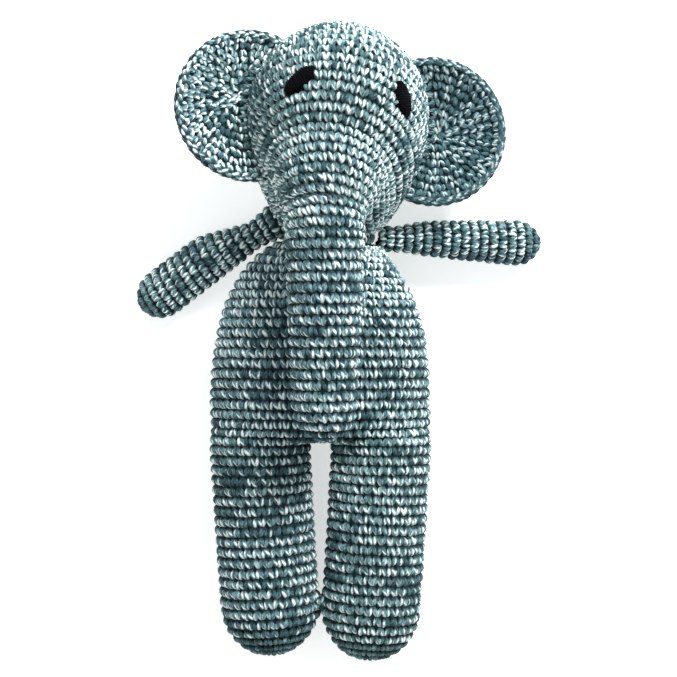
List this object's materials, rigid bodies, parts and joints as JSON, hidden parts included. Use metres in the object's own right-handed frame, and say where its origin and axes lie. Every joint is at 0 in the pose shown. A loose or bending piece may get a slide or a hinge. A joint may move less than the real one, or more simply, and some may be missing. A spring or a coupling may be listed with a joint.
{
  "type": "stuffed elephant",
  "caption": "Crocheted elephant toy with a padded body, floppy arms and legs, cupped round ears, a long trunk and stitched eyes.",
  "frame": {"origin": "middle of the flat back of the torso, on the surface that the toy lies on", "axes": "+Y towards the crown of the head, +Z the front of the toy, -Z out of its back, X across it"},
  "size_m": [0.2085, 0.32, 0.1008],
  "materials": {
    "marled_yarn": "chunky marled blue-grey and white wool yarn, single crochet",
    "sewing_yarn": "plied blue-grey yarn, whip stitched",
    "eye_yarn": "black embroidery yarn in satin stitch",
    "stuffing": "white polyester fibre fill"
  },
  "bodies": {
    "torso": {"body_cover": "marled_yarn", "body_stuffing": "stuffing", "neck_seam": "sewing_yarn", "shoulder_seam_left": "sewing_yarn", "shoulder_seam_right": "sewing_yarn"},
    "head": {"head_cover": "marled_yarn", "head_stuffing": "stuffing", "eye_left": "eye_yarn", "eye_right": "eye_yarn", "ear_seam_left": "sewing_yarn", "ear_seam_right": "sewing_yarn"},
    "trunk": {"trunk_cover": "marled_yarn", "trunk_stuffing": "stuffing"},
    "ear_left": {"ear_left": "marled_yarn"},
    "ear_right": {"ear_right": "marled_yarn"},
    "arm_left": {"arm_left_cover": "marled_yarn", "arm_left_stuffing": "stuffing"},
    "arm_right": {"arm_right_cover": "marled_yarn", "arm_right_stuffing": "stuffing"},
    "leg_left": {"leg_left_cover": "marled_yarn", "leg_left_stuffing": "stuffing"},
    "leg_right": {"leg_right_cover": "marled_yarn", "leg_right_stuffing": "stuffing"}
  },
  "joints": [
    {"name": "head_tilt", "type": "hinge", "parent": "torso", "child": "head", "pos_m": [0.0048, 0.056, 0.027], "axis": [0, 0, 1], "range_deg": [-7, 7], "stiffness_Nm_per_rad": 0.06},
    {"name": "trunk_lift", "type": "hinge", "parent": "head", "child": "trunk", "pos_m": [0.0025, 0.074, 0.074], "axis": [-1, 0, 0], "range_deg": [0, 50], "stiffness_Nm_per_rad": 0.05},
    {"name": "ear_left_fold", "type": "hinge", "parent": "head", "child": "ear_left", "pos_m": [-0.033, 0.114, 0.053], "axis": [0, 1, 0], "range_deg": [-12, 15], "stiffness_Nm_per_rad": 0.008},
    {"name": "ear_right_fold", "type": "hinge", "parent": "head", "child": "ear_right", "pos_m": [0.0515, 0.106, 0.039], "axis": [0, -1, 0], "range_deg": [-12, 15], "stiffness_Nm_per_rad": 0.008},
    {"name": "arm_left_swing", "type": "hinge", "parent": "torso", "child": "arm_left", "pos_m": [-0.032, 0.0565, 0.02], "axis": [0, 0, 1], "range_deg": [-35, 10], "stiffness_Nm_per_rad": 0.02},
    {"name": "arm_right_swing", "type": "hinge", "parent": "torso", "child": "arm_right", "pos_m": [0.0395, 0.0536, 0.02], "axis": [0, 0, -1], "range_deg": [-18, 42], "stiffness_Nm_per_rad": 0.02},
    {"name": "leg_left_kick", "type": "hinge", "parent": "torso", "child": "leg_left", "pos_m": [-0.031, -0.052, 0.0246], "axis": [-1, 0, 0], "range_deg": [-10, 45], "stiffness_Nm_per_rad": 0.08},
    {"name": "leg_right_kick", "type": "hinge", "parent": "torso", "child": "leg_right", "pos_m": [0.031, -0.052, 0.0246], "axis": [-1, 0, 0], "range_deg": [-10, 45], "stiffness_Nm_per_rad": 0.08}
  ]
}
